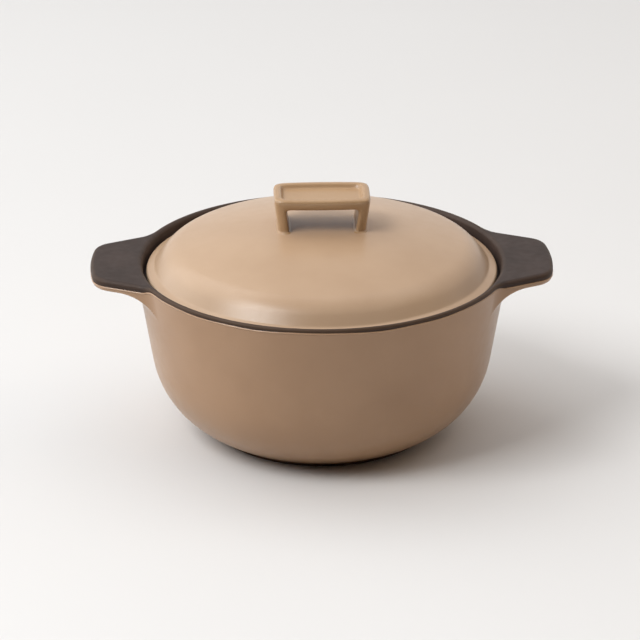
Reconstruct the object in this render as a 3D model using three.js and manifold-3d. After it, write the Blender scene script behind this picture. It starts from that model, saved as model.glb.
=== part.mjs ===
// Two-tone ceramic pot: a round-bellied bowl with two flat lugs and a domed lid with a bridge handle.
// Millimetres, +Z up. The origin is the centre of the foot ring's underside, and the lugs lie along X.
// The bowl, lugs, lid and handle are the fired clay members, and the dark glaze coats are thin solids.

import * as THREE from 'three';
import { mergeVertices } from 'three/addons/utils/BufferGeometryUtils.js';
import Module from 'manifold-3d';

const degrees = THREE.MathUtils.degToRad;

// Bowl, outside
const rimRadius = 120;
const bowlHeight = 114;
const wallLean = degrees(9.3);
const bellyRadius = 63;
const bellySlope = degrees(22);
const footRadius = 71.5;
const footHeight = 2.4;
const footWidth = 9;
const footRound = 0.8;
const baseRecess = 2.5;

// Bowl, inside and rim
const floorThickness = 8;
const insideBellyRadius = 56;
const insideLean = degrees(4.2);
const lipThickness = 4.2;
const lipSlope = 1.6;
const galleryDepth = 9.5;
const galleryWidth = 7.7;
const galleryRound = 1.5;
const rimOutsideRound = 1.6;
const rimInsideRound = 3;

// Dark glaze coats, and the clearance between members
const glaze = 0.8;
const glazeWrap = 2.5;
const seatGap = 0.3;

// Lugs
const lugReach = 27.8;
const lugToe = 1;
const lugWidth = 71;
const lugRoot = 107;
const lugCorner = 16;
const lugSweep = 20;
const lugThickness = 6.5;
const lugEdge = 2;
const lugCove = 14;
const coveStart = degrees(25);
const coveTaper = 0.2;
const lugCoat = 1.2;
const coatEdge = 0.5;

// Lid
const lidClearance = 1.5;
const flangeThickness = 4;
const flangeWidth = 5.3;
const flangeRound = 1.8;
const flangeRise = 1.85;
const crownFall = 19.2;
const shoulderDrop = 8.65;
const shoulderRadius = 25.2;
const shoulderLean = degrees(52);
const shoulderFootRound = 3.5;
const lidWall = 6;

// Bridge handle on the lid
const handleWidth = 63;
const handleDepth = 38.5;
const handleRise = 21.5;
const handleCorner = 7;
const handleEdge = 1.8;
const handleBow = 1.7;
const plateThickness = 6.5;
const legThickness = 7;
const legLean = degrees(7.5);
const legDraft = degrees(8.5);
const elbowRound = 3;
const fingerRound = 3;
const panelBorder = 4.2;
const panelDepth = 2.6;
const panelSlope = 2.4;
const panelCorner = 3;

// Facets: steps in a full turn, the largest distance of a chord from its arc, and steps in a plan's arc
const turnSteps = 48;
const chordError = 0.25;
const planSteps = 4;

// How far a cutting body runs past what it cuts
const overrun = 5;

// Levels and radii that follow from the sizes above
const floorLevel = baseRecess + floorThickness;
const galleryLevel = bowlHeight - galleryDepth;
const galleryRadius = rimRadius - lipThickness - lipSlope;
const ledgeRadius = galleryRadius - galleryWidth;
const lidLevel = galleryLevel + seatGap;
const lidRadius = galleryRadius - lidClearance;
const domeRadius = lidRadius - flangeWidth;
const domeFoot = flangeThickness + flangeRise;
const crownLevel = domeFoot + shoulderDrop + crownFall;
const crownRadius = (domeRadius ** 2 + crownFall ** 2) / (2 * crownFall);
const coatDepth = glaze + seatGap;

const wasm = await Module();
wasm.setup();

// Solids

function closedMesh(geometry) {
  geometry.deleteAttribute('normal');
  geometry.deleteAttribute('uv');
  const merged = mergeVertices(geometry, 1e-4);
  const corners = merged.index.array;
  const kept = [];
  for (let i = 0; i < corners.length; i += 3) {
    const [a, b, c] = corners.slice(i, i + 3);
    if (a !== b && b !== c && c !== a) kept.push(a, b, c);
  }
  merged.setIndex(kept);
  return merged;
}

function solid(geometry) {
  const mesh = closedMesh(geometry);
  const vertProperties = new Float32Array(mesh.attributes.position.array);
  const triVerts = new Uint32Array(mesh.index.array);
  return new wasm.Manifold(new wasm.Mesh({ numProp: 3, vertProperties, triVerts }));
}

function geometryOf(manifold) {
  const mesh = manifold.getMesh();
  const geometry = new THREE.BufferGeometry();
  geometry.setAttribute('position', new THREE.BufferAttribute(mesh.vertProperties, 3));
  geometry.setIndex(new THREE.BufferAttribute(mesh.triVerts, 1));
  return geometry;
}

// Profiles: points are (radius, height), and a corner is [radius, height, rounding]

function arcSteps(radius, angle) {
  const step = 2 * Math.acos(1 - Math.min(chordError / radius, 1));
  return Math.max(2, Math.ceil(Math.abs(angle) / step));
}

function headings(points) {
  return points.slice(1).map((point, i) => point.clone().sub(points[i]).normalize());
}

function turnBetween(before, after) {
  return Math.atan2(before.cross(after), before.dot(after));
}

// Rounds each corner by an arc, which is drawn in where its two sides are too short for it
function roundedPath(corners) {
  const points = corners.map(([across, up]) => new THREE.Vector2(across, up));
  const heading = headings(points);
  const turns = points.map((_, i) => {
    const inner = i > 0 && i < points.length - 1;
    return inner ? turnBetween(heading[i - 1], heading[i]) : 0;
  });
  const wanted = corners.map(([, , rounding = 0], i) => rounding * Math.tan(Math.abs(turns[i]) / 2));
  const share = heading.map((_, i) => {
    const length = points[i].distanceTo(points[i + 1]);
    return Math.min(1, length / Math.max(wanted[i] + wanted[i + 1], length));
  });
  return points.flatMap((point, i) => {
    if (wanted[i] === 0) return [point];
    const cut = wanted[i] * Math.min(share[i - 1], share[i]);
    const radius = cut / Math.tan(Math.abs(turns[i]) / 2);
    const start = point.clone().addScaledVector(heading[i - 1], -cut);
    const side = new THREE.Vector2(-heading[i - 1].y, heading[i - 1].x).multiplyScalar(Math.sign(turns[i]));
    const centre = start.clone().addScaledVector(side, radius);
    const steps = arcSteps(radius, turns[i]);
    const turnTo = (k) => start.clone().rotateAround(centre, turns[i] * k / steps);
    return Array.from({ length: steps + 1 }, (_, k) => turnTo(k));
  });
}

// Moves a path sideways, to the right of its heading, with its roundings kept parallel
function insetPath(corners, distance) {
  const points = corners.map(([across, up]) => new THREE.Vector2(across, up));
  const heading = headings(points);
  const right = heading.map((way) => new THREE.Vector2(way.y, -way.x));
  return points.map((point, i) => {
    const before = right[Math.max(i - 1, 0)];
    const after = right[Math.min(i, right.length - 1)];
    const shift = before.clone().add(after).multiplyScalar(distance / (1 + before.dot(after)));
    const turn = Math.sign(before.cross(after));
    const rounding = corners[i][2] ? Math.max(corners[i][2] + turn * distance, 0) : 0;
    return [point.x + shift.x, point.y + shift.y, rounding];
  });
}

function revolve(profile) {
  const points = THREE.ShapeUtils.isClockWise(profile) ? profile.toReversed() : profile;
  return new THREE.LatheGeometry(points, turnSteps).rotateX(Math.PI / 2);
}

// Bowl

function wallRadiusAt(level) {
  return rimRadius - (bowlHeight - level) * Math.tan(wallLean);
}

// The glazed surface from the middle of the floor, up the inside, over the rim and down to the glaze line
function potInside(wrap) {
  const lineLevel = bowlHeight - wrap * Math.cos(wallLean);
  const floorCorner = ledgeRadius - (galleryLevel - floorLevel) * Math.tan(insideLean);
  return [
    [0, floorLevel],
    [floorCorner, floorLevel, insideBellyRadius],
    [ledgeRadius, galleryLevel, galleryRound],
    [galleryRadius, galleryLevel, galleryRound],
    [rimRadius - lipThickness, bowlHeight, rimInsideRound],
    [rimRadius, bowlHeight, rimOutsideRound],
    [wallRadiusAt(lineLevel), lineLevel],
  ];
}

function bowlGeometry() {
  const inside = potInside(glazeWrap + seatGap);
  const glazeLine = inside.at(-1);
  const rise = Math.tan(bellySlope);
  const wallAtFoot = wallRadiusAt(footHeight);
  const bellyOut = (wallAtFoot - footRadius) / (1 - rise * Math.tan(wallLean));
  const outside = [
    glazeLine,
    [footRadius + bellyOut, footHeight + bellyOut * rise, bellyRadius],
    [footRadius, footHeight],
    [footRadius, 0, footRound],
    [footRadius - footWidth, 0, footRound],
    [footRadius - footWidth, baseRecess],
    [0, baseRecess],
  ];
  return revolve([...roundedPath(insetPath(inside, coatDepth)), ...roundedPath(outside)]);
}

function bowlLiningGeometry() {
  const face = potInside(glazeWrap);
  const back = insetPath(face, glaze);
  return revolve([...roundedPath(face), ...roundedPath(back).reverse()]);
}

// Lugs: one is drawn on the +X side, and the other is the same piece turned half round

// Plan of a lug, drawn in by an inset: round tip, rounded corners, and the sweeps that run into the rim
function lugPlan(inset) {
  const tip = rimRadius + lugReach;
  const cornerOut = lugWidth / 2 - lugCorner;
  const corner = new THREE.Vector2(Math.sqrt((tip - lugCorner) ** 2 - cornerOut ** 2), cornerOut);
  const rootAngle = Math.asin(lugRoot / 2 / rimRadius);
  const sweep = new THREE.Vector2(rimRadius + lugSweep, 0).rotateAround(new THREE.Vector2(), rootAngle);
  const between = sweep.clone().sub(corner);
  const sideAngle = between.angle() - Math.acos(Math.min((lugCorner + lugSweep) / between.length(), 1));
  const half = new THREE.Path();
  half.absarc(0, 0, tip - inset, 0, corner.angle(), false);
  half.absarc(corner.x, corner.y, lugCorner - inset, corner.angle(), sideAngle, false);
  half.absarc(sweep.x, sweep.y, lugSweep + inset, sideAngle + Math.PI, rootAngle + Math.PI, true);
  half.lineTo(ledgeRadius * Math.cos(rootAngle), ledgeRadius * Math.sin(rootAngle));
  const points = half.getPoints(planSteps);
  const mirrored = points.slice(1).map((point) => new THREE.Vector2(point.x, -point.y));
  return [...mirrored.reverse(), ...points];
}

// Level of a lug's underside at a distance from the wall: a cove that meets the wall at an angle, then flat
function lugUnderLevel(out) {
  const across = Math.max(Math.cos(coveStart) - out / lugCove, 0);
  return bowlHeight - lugThickness - lugCove * (1 - Math.sqrt(1 - across ** 2));
}

// A row of points round a lug, at a level or at a rise above its underside, and no further out than a limit.
// The row draws together as the cove deepens, and a toe keeps its ends from running out to a feather edge.
function lugRow({ inset = 0, limit = Infinity, rise = 0, level }) {
  const centre = new THREE.Vector2();
  const coveDepth = lugUnderLevel(Infinity) - lugUnderLevel(0);
  return lugPlan(inset).map((point) => {
    const out = THREE.MathUtils.clamp(point.length() - rimRadius, 0, limit);
    const under = lugUnderLevel(out);
    const height = level ?? under + Math.min(rise, out);
    const taper = level ? 0 : coveTaper * (lugUnderLevel(Infinity) - under) / coveDepth;
    if (point.length() > galleryRadius) point.setLength(wallRadiusAt(height) + lugToe + out);
    point.rotateAround(centre, -taper * Math.atan2(point.y, point.x));
    return new THREE.Vector3(point.x, point.y, height);
  });
}

// Joins rows of equal point counts, one above the other, into a closed body
function loft(rows) {
  const count = rows[0].length;
  const roof = (rows.length - 1) * count;
  const faces = [];
  for (const [a, b, c] of THREE.ShapeUtils.triangulateShape(rows[0], [])) faces.push(c, b, a);
  for (const [a, b, c] of THREE.ShapeUtils.triangulateShape(rows.at(-1), [])) {
    faces.push(roof + a, roof + b, roof + c);
  }
  for (let i = 0; i < roof; i += 1) {
    const next = (i + 1) % count === 0 ? i + 1 - count : i + 1;
    faces.push(i, next, next + count, i, next + count, i + count);
  }
  const geometry = new THREE.BufferGeometry().setFromPoints(rows.flat());
  geometry.setIndex(faces);
  return solid(geometry);
}

// What the bowl's outer wall takes away from a lug, with the clearance to it
function wallPlug(low) {
  const clear = seatGap / Math.cos(wallLean);
  const high = bowlHeight + overrun;
  const wall = [[0, low], [wallRadiusAt(low) + clear, low], [wallRadiusAt(high) + clear, high], [0, high]];
  return solid(revolve(roundedPath(wall)));
}

// A lug grows out of the wall along its cove, and its underside has a rounded edge
function lugGeometry() {
  const coveSteps = arcSteps(lugCove, Math.PI / 2 - coveStart);
  const cove = Array.from({ length: coveSteps + 1 }, (_, k) => {
    const angle = coveStart + (Math.PI / 2 - coveStart) * k / coveSteps;
    return { inset: lugEdge, limit: lugCove * (Math.cos(coveStart) - Math.cos(angle)) };
  });
  const edgeSteps = arcSteps(lugEdge, Math.PI / 2);
  const edge = Array.from({ length: edgeSteps + 1 }, (_, k) => {
    const angle = Math.PI / 2 * k / edgeSteps;
    return { inset: lugEdge * (1 - Math.sin(angle)), rise: lugEdge * (1 - Math.cos(angle)) };
  });
  const rows = [...cove, ...edge, { level: bowlHeight - lugCoat - seatGap }].map(lugRow);
  return geometryOf(loft(rows).subtract(wallPlug(lugUnderLevel(0) - overrun)));
}

function lugCoatGeometry() {
  const low = bowlHeight - lugCoat;
  const side = [{ level: low }, { level: bowlHeight - coatEdge }];
  const rows = [...side, { level: bowlHeight, inset: coatEdge }].map(lugRow);
  return geometryOf(loft(rows).subtract(wallPlug(low - overrun)));
}

// Lid: heights count from its seat on the gallery

// Centre of the shoulder's arc, which touches the crown's arc and the slope above the dome's foot
function shoulderCentre() {
  const crownCentre = new THREE.Vector2(0, crownLevel - crownRadius);
  const upSlope = new THREE.Vector2(-Math.cos(shoulderLean), Math.sin(shoulderLean));
  const inward = new THREE.Vector2(-Math.sin(shoulderLean), -Math.cos(shoulderLean));
  const base = new THREE.Vector2(domeRadius, domeFoot).addScaledVector(inward, shoulderRadius);
  const offset = base.clone().sub(crownCentre);
  const along = offset.dot(upSlope);
  const spare = (crownRadius - shoulderRadius) ** 2 - offset.lengthSq();
  return base.addScaledVector(upSlope, Math.sqrt(along ** 2 + spare) - along);
}

// Crown and shoulder at a depth below the lid's upper face, from the axis outwards
function domeCurve(depth) {
  const centre = shoulderCentre();
  const crownEnd = Math.atan2(centre.x, centre.y - crownLevel + crownRadius);
  const arc = (x, y, radius, from, to) => {
    const turn = [Math.PI / 2 - from, Math.PI / 2 - to, true];
    return new THREE.EllipseCurve(x, y, radius - depth, radius - depth, ...turn);
  };
  const crown = arc(0, crownLevel - crownRadius, crownRadius, 0, crownEnd);
  const shoulder = arc(centre.x, centre.y, shoulderRadius, crownEnd, shoulderLean);
  return [
    ...crown.getPoints(arcSteps(crownRadius, crownEnd)),
    ...shoulder.getPoints(arcSteps(shoulderRadius, shoulderLean - crownEnd)).slice(1),
  ];
}

// The underside at a depth, carried down its slope to the seat
function hollowCurve(depth) {
  const curve = domeCurve(depth);
  const end = curve.at(-1);
  return [...curve, new THREE.Vector2(end.x + end.y / Math.tan(shoulderLean), 0)];
}

function lidDomeGeometry() {
  const top = domeCurve(0);
  const flange = [
    top.at(-1).toArray(),
    [domeRadius, domeFoot, shoulderFootRound],
    [lidRadius, flangeThickness, flangeRound],
    [lidRadius, 0, flangeRound],
    [ledgeRadius, 0],
  ];
  const hollow = hollowCurve(lidWall - coatDepth).reverse();
  return revolve([...top.slice(0, -1), ...roundedPath(flange), ...hollow]);
}

function lidLiningGeometry() {
  const face = hollowCurve(lidWall);
  const back = hollowCurve(lidWall - glaze).reverse();
  return revolve([...face, ...back]);
}

// Bridge handle: a plate with a sunk panel on two legs, with the finger gap running through along Y

// Rectangle in plan with rounded corners, whose long sides bow outwards
function rectanglePlan(width, depth, corner, bow) {
  const x = width / 2 - corner;
  const y = depth / 2 - corner - bow;
  const plan = new THREE.Shape();
  plan.absarc(x, -y, corner, -Math.PI / 2, 0, false);
  plan.absarc(x, y, corner, 0, Math.PI / 2, false);
  plan.quadraticCurveTo(0, y + corner + 2 * bow, -x, y + corner);
  plan.absarc(-x, y, corner, Math.PI / 2, Math.PI, false);
  plan.absarc(-x, -y, corner, Math.PI, 1.5 * Math.PI, false);
  plan.quadraticCurveTo(0, -y - corner - 2 * bow, x, -y - corner);
  return plan;
}

// Block along an axis whose section is an outline of across and up
function handleBlock(outline, length) {
  const block = new THREE.ExtrudeGeometry(new THREE.Shape(outline), { depth: length, bevelEnabled: false });
  return block.rotateX(Math.PI / 2).translate(0, length / 2, 0);
}

// Seen from the front: two legs that lean together under the plate
function handleBridge(low, high) {
  const tuck = (high - low) * Math.tan(legLean);
  const under = high - plateThickness;
  const underTuck = plateThickness * Math.tan(legLean);
  const out = handleWidth / 2;
  const half = [
    [out - tuck, low],
    [out, high, elbowRound],
    [-out, high, elbowRound],
    [tuck - out, low],
    [tuck - out + legThickness, low],
    [underTuck - out + legThickness, under, fingerRound],
    [out - underTuck - legThickness, under, fingerRound],
    [out - tuck - legThickness, low],
  ];
  return solid(handleBlock(roundedPath(half), handleDepth + 2 * overrun));
}

// Seen from the end: the long sides draw in towards the feet
function handleSides(low, high) {
  const out = handleDepth / 2;
  const tuck = (high - low) * Math.tan(legDraft);
  const ends = [[out - tuck, low], [out, high], [-out, high], [tuck - out, low]];
  return solid(handleBlock(roundedPath(ends), handleWidth + 2 * overrun).rotateZ(Math.PI / 2));
}

// The sunk panel and the space above it: its walls slope out to the border
function panelSpace(high) {
  const width = handleWidth - 2 * panelBorder;
  const plan = rectanglePlan(width, handleDepth - 2 * panelBorder, panelCorner + panelSlope, 0);
  const slope = { bevelThickness: panelDepth, bevelSize: panelSlope, bevelOffset: -panelSlope };
  const options = { depth: overrun, curveSegments: planSteps, bevelSegments: 1, ...slope };
  const space = new THREE.ExtrudeGeometry(plan, options);
  return solid(space.translate(0, 0, high));
}

function lidHandleGeometry() {
  const high = crownLevel + handleRise;
  const low = crownLevel - crownFall;
  const plan = rectanglePlan(handleWidth, handleDepth, handleCorner, handleBow);
  const depth = high - low - 2 * handleEdge;
  const bevel = { bevelThickness: handleEdge, bevelSize: handleEdge, bevelOffset: -handleEdge };
  const options = { depth, curveSegments: 2 * planSteps, bevelSegments: 2, ...bevel };
  const block = new THREE.ExtrudeGeometry(plan, options);
  const dome = domeCurve(-seatGap);
  const domeBody = [new THREE.Vector2(0, low - overrun), new THREE.Vector2(dome.at(-1).x, low - overrun)];
  return geometryOf(
    solid(block.translate(0, 0, low + handleEdge))
      .intersect(handleBridge(low - overrun, high))
      .intersect(handleSides(low - overrun, high))
      .subtract(panelSpace(high))
      .subtract(solid(revolve([...domeBody, ...dome.reverse()]))),
  );
}

// Finishes

const satinGlaze = { color: '#c2a384', roughness: 0.55, metalness: 0 };
const handleGlaze = { color: '#bd9b7a', roughness: 0.55, metalness: 0 };
const darkGlaze = { color: '#4d413b', roughness: 0.4, metalness: 0 };

function piece(name, geometry, finish) {
  const mesh = new THREE.Mesh(closedMesh(geometry), new THREE.MeshStandardMaterial(finish));
  mesh.geometry.computeVertexNormals();
  mesh.name = name;
  return mesh;
}

// Assembly: the lid stands in the bowl's gallery and lifts straight off

const pot = new THREE.Group();
pot.add(piece('bowl', bowlGeometry(), satinGlaze));
pot.add(piece('bowl_lining', bowlLiningGeometry(), darkGlaze));
for (const [side, turn] of [['right', 0], ['left', Math.PI]]) {
  const lug = new THREE.Group();
  lug.rotation.z = turn;
  lug.add(piece(`${side}_lug`, lugGeometry(), satinGlaze));
  lug.add(piece(`${side}_lug_glaze`, lugCoatGeometry(), darkGlaze));
  pot.add(lug);
}

const lid = new THREE.Group();
lid.position.z = lidLevel;
lid.add(piece('lid_dome', lidDomeGeometry(), satinGlaze));
lid.add(piece('lid_lining', lidLiningGeometry(), darkGlaze));
lid.add(piece('lid_handle', lidHandleGeometry(), handleGlaze));

const casserole = new THREE.Group();
casserole.add(pot, lid);

export default casserole;
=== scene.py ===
# %% [markdown]
# # A two-tone ceramic pot with a lid
#
# The real pot is fired stoneware: a round-bellied bowl with two flat lugs, satin tan outside and dark brown
# inside and over the rim, and a domed lid with a bridge handle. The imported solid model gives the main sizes.
# This script makes the looks around it: smooth clay without facets, the two glazes, soft light and a camera.
# The model is loaded first, so that every piece shares one frame, in metres, with the pot's foot at z = 0.

# %% Load the frame
from math import acos, asin, atan, ceil, cos, pi, radians, sin, sqrt, tan

import bmesh
import bpy
import numpy as np
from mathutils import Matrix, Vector


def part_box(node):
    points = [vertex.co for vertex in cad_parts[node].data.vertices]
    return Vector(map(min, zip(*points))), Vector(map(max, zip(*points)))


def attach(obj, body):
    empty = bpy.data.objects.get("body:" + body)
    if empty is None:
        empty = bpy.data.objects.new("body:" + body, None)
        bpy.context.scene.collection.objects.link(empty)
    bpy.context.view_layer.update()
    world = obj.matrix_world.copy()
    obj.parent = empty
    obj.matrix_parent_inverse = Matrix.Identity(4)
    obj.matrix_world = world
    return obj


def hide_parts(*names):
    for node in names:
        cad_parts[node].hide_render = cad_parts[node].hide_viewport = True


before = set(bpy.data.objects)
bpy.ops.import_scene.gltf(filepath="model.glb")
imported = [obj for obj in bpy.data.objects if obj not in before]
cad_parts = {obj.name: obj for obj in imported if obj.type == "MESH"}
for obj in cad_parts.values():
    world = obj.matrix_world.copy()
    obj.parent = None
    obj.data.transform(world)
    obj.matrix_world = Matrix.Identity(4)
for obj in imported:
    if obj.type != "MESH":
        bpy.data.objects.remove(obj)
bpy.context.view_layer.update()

mm = 0.001
print("solids to dress:", sorted(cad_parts))

# %% [markdown]
# ## Glazes
#
# A glaze is never one colour. It pools and thins, the clay under it is speckled with iron, and it breaks to
# another tone along edges, where it runs thin; that lighter edge tone is also a painted highlight. A picture
# wrapped round the pot could show that, but it would have a seam. Noise on Object coordinates has none, stays
# on the piece when the lid lifts, and needs no file. The edges come from an attribute which a later step
# measures on each mesh: 1 on a tight edge.

# %% Helpers for node materials
def new_finish(name):
    """An empty node material with a shader, and the shader's node."""
    finish = bpy.data.materials.new(name)
    finish.use_nodes = True
    return finish, finish.node_tree.nodes["Principled BSDF"]


def object_place(tree):
    """The place of a shaded point in its object's own space."""
    return tree.nodes.new("ShaderNodeTexCoord").outputs["Object"]


def remap(tree, value, low, high, to_low, to_high):
    """Stretches the part of a value between low and high over another range, and holds it at the ends."""
    node = tree.nodes.new("ShaderNodeMapRange")
    tree.links.new(value, node.inputs["Value"])
    for name, number in zip(("From Min", "From Max", "To Min", "To Max"), (low, high, to_low, to_high)):
        node.inputs[name].default_value = number
    return node.outputs["Result"]


def mix_colour(tree, factor, under, over):
    """Mixes two colours, each a socket or three linear numbers, by a factor from a socket."""
    node = tree.nodes.new("ShaderNodeMix")
    node.data_type = "RGBA"
    tree.links.new(factor, node.inputs[0])
    for socket, colour in zip((node.inputs[6], node.inputs[7]), (under, over)):
        if isinstance(colour, tuple):
            socket.default_value = (*colour, 1)
        else:
            tree.links.new(colour, socket)
    return node.outputs[2]


def combine(tree, operation, first, second):
    """A Math node on two sockets."""
    node = tree.nodes.new("ShaderNodeMath")
    node.operation = operation
    tree.links.new(first, node.inputs[0])
    tree.links.new(second, node.inputs[1])
    return node.outputs[0]


# %% Noise, bumps, edges and specks
def add_noise(tree, size, detail=3.0):
    """Soft cloudy noise in the object's own space, with features of about this size in metres."""
    noise = tree.nodes.new("ShaderNodeTexNoise")
    noise.inputs["Scale"].default_value = 1 / size
    noise.inputs["Detail"].default_value = detail
    tree.links.new(object_place(tree), noise.inputs["Vector"])
    return noise.outputs["Fac"]


def noise_between(tree, size, low, high, spread=0.15):
    """Noise that swings from low to high. It reaches both ends at this distance from its middle of 0.5."""
    return remap(tree, add_noise(tree, size), 0.5 - spread, 0.5 + spread, low, high)


def add_bumps(tree, shader, *bumps):
    """Roughens the surface by noises of (size, detail, depth), each on top of the one before."""
    normal = None
    for size, detail, depth in bumps:
        bump = tree.nodes.new("ShaderNodeBump")
        bump.inputs["Strength"].default_value = 1
        bump.inputs["Distance"].default_value = depth
        tree.links.new(add_noise(tree, size, detail), bump.inputs["Height"])
        if normal:
            tree.links.new(normal, bump.inputs["Normal"])
        normal = bump.outputs["Normal"]
    tree.links.new(normal, shader.inputs["Normal"])


def thin_and_highlit_edges(tree, strength, start=0):
    """How tight an outer edge is, from the mesh, for glaze break and painted edge highlight: the strength on a
    tight outer edge and 0 on open ground.
    """
    node = tree.nodes.new("ShaderNodeAttribute")
    node.attribute_name = "glaze_break_and_highlight"
    return remap(tree, node.outputs["Fac"], start, 1, 0, strength)


def iron_specks(tree, spacing, size, share, strength):
    """Small round spots with soft edges, and 0 between them. Only a share of the grid's cells has one."""
    cells = tree.nodes.new("ShaderNodeTexVoronoi")
    cells.inputs["Scale"].default_value = 1 / spacing
    tree.links.new(object_place(tree), cells.inputs["Vector"])
    radius = 0.5 * size / spacing
    spot = remap(tree, cells.outputs["Distance"], radius, 0.4 * radius, 0, 1)
    lot = tree.nodes.new("ShaderNodeSeparateColor")
    tree.links.new(cells.outputs["Color"], lot.inputs[0])
    return combine(tree, "MULTIPLY", spot, remap(tree, lot.outputs[0], 1 - share, 1, 0, strength))


# %% [markdown]
# ### Satin tan glaze and bare foot
#
# The outside has a satin tan glaze: a wide soft gloss and no mirror image. Three noises make it: broad clouds
# where it lies thicker, a fine mottle, and rare faint iron specks. Below the glaze line near the foot the clay
# is bare and brown. One material can do both, because the height above the table tells them apart. One function
# makes the glaze of pot, lid and handle, each with a tone of its own, and these tones are painted light and
# shade: the lid's paler tone is painted light on its lit top, and the darker tones of pot and handle are
# painted shade.

# %% Satin tan glaze
# The third colour is the lighter tone of tight edges: partly glaze break, partly a painted highlight.
tan_light, tan_deep, tan_break_and_highlight = (0.478, 0.312, 0.190), (0.442, 0.283, 0.168), (0.56, 0.39, 0.26)
iron_brown, bare_clay = (0.22, 0.12, 0.06), (0.085, 0.045, 0.026)
bare_level, bare_fade = 2.0 * mm, 0.4 * mm
tan_clouds = {"size": 45 * mm, "low": 0, "high": 1}
tan_mottle = {"size": 1.4 * mm, "low": 0, "high": 0.16}
tan_specks = {"spacing": 3.1 * mm, "size": 0.7 * mm, "share": 0.16, "strength": 0.15}
tan_rough, edge_shine = {"size": 6 * mm, "low": 0.28, "high": 0.34, "spread": 0.2}, 0.13
tan_hand, tan_grain = (22 * mm, 1.0, 0.12 * mm), (0.9 * mm, 3.0, 0.02 * mm)


def satin_tan_glaze(name, tone, break_and_highlight_share):
    """The tan glaze and the bare foot. The tone scales its colours: below 1 it is painted shade, above 1
    painted light.
    """
    finish, shader = new_finish(name)
    tree = finish.node_tree
    # The tone scales all three colours: painted light on the lid, painted shade on pot and handle.
    light, deep, edge = [tuple(np.multiply(colour, tone)) for colour in (tan_light, tan_deep, tan_break_and_highlight)]
    ground = mix_colour(tree, noise_between(tree, **tan_clouds), deep, light)
    ground = mix_colour(tree, noise_between(tree, **tan_mottle), ground, deep)
    # Tight edges take the lighter edge tone: partly glaze break, partly a painted highlight.
    ground = mix_colour(tree, thin_and_highlit_edges(tree, break_and_highlight_share), ground, edge)
    ground = mix_colour(tree, iron_specks(tree, **tan_specks), ground, iron_brown)
    height = tree.nodes.new("ShaderNodeSeparateXYZ")
    tree.links.new(object_place(tree), height.inputs[0])
    bare = remap(tree, height.outputs["Z"], bare_level, bare_level - bare_fade, 0, 1)
    tree.links.new(mix_colour(tree, bare, ground, bare_clay), shader.inputs["Base Color"])
    satin = combine(tree, "SUBTRACT", noise_between(tree, **tan_rough), thin_and_highlit_edges(tree, edge_shine))
    tree.links.new(satin, shader.inputs["Roughness"])
    shader.inputs["Specular IOR Level"].default_value = 0.5
    add_bumps(tree, shader, tan_hand, tan_grain)
    return finish


# The lid's paler tone is painted light; the darker tones of pot and handle are painted shade.
lid_glaze_painted_light = satin_tan_glaze("lid_tan_glaze_painted_light", (0.98, 1.02, 1.07), 0.55)
pot_glaze_painted_shade = satin_tan_glaze("pot_tan_glaze_painted_shade", (0.83, 0.77, 0.725), 0.55)
handle_glaze_painted_shade = satin_tan_glaze("handle_tan_glaze_painted_shade", (0.86, 0.83, 0.73), 0.1)
print("nodes in a tan glaze:", len(lid_glaze_painted_light.node_tree.nodes))

# %% [markdown]
# ### Dark brown glaze
#
# The inside, the rim and the lugs' tops have a dark brown glaze, duller than the tan one. Over an edge it runs
# thin and breaks to a warmer brown, and that warmer brown is also a painted highlight on the rim's crest. It is
# built as the tan glaze is, from clouds, specks and edges, so that both finishes look fired in the same kiln.

# %% Dark brown glaze
# The third colour is the warmer tone of tight edges: partly glaze break, partly a painted highlight on the
# rim's crest.
dark_ground, dark_cloud, dark_break_and_highlight = (0.034, 0.022, 0.018), (0.046, 0.030, 0.025), (0.078, 0.044, 0.024)
dark_clouds = {"size": 18 * mm, "low": 0, "high": 1}
dark_specks = {"spacing": 2.3 * mm, "size": 0.6 * mm, "share": 0.25, "strength": 0.2}
dark_break_and_highlight_mask = {"strength": 0.7, "start": 0.1}
dark_rough = {"size": 5 * mm, "low": 0.48, "high": 0.56, "spread": 0.2}
dark_hand, dark_grain = (14 * mm, 1.0, 0.08 * mm), (0.8 * mm, 3.0, 0.015 * mm)


def dark_brown_glaze():
    """The dark glaze, with a warmer tone on tight edges: glaze break and a painted highlight."""
    finish, shader = new_finish("dark_brown_glaze")
    tree = finish.node_tree
    ground = mix_colour(tree, noise_between(tree, **dark_clouds), dark_ground, dark_cloud)
    ground = mix_colour(tree, iron_specks(tree, **dark_specks), ground, iron_brown)
    # Tight edges turn warmer: partly glaze break, partly a painted highlight.
    ground = mix_colour(tree, thin_and_highlit_edges(tree, **dark_break_and_highlight_mask), ground, dark_break_and_highlight)
    tree.links.new(ground, shader.inputs["Base Color"])
    tree.links.new(noise_between(tree, **dark_rough), shader.inputs["Roughness"])
    shader.inputs["Specular IOR Level"].default_value = 0.2
    add_bumps(tree, shader, dark_hand, dark_grain)
    return finish


dark_glaze = dark_brown_glaze()
print("nodes in the dark glaze:", len(dark_glaze.node_tree.nodes))

# %% [markdown]
# ## Profiles with rounded corners
#
# Clay has no sharp corners: a potter's sponge rounds every one. A profile is therefore written as corners of
# radius, height and rounding, and a helper turns each corner into an arc. A curve object with bevels could do
# it too, but here many profiles are needed, one for each place round the pot. A point on the page is kept as
# one complex number, across + up * 1j: dividing two directions then gives the angle between them.

# %% Rounded paths
same_point = 1e-4 * mm


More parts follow.
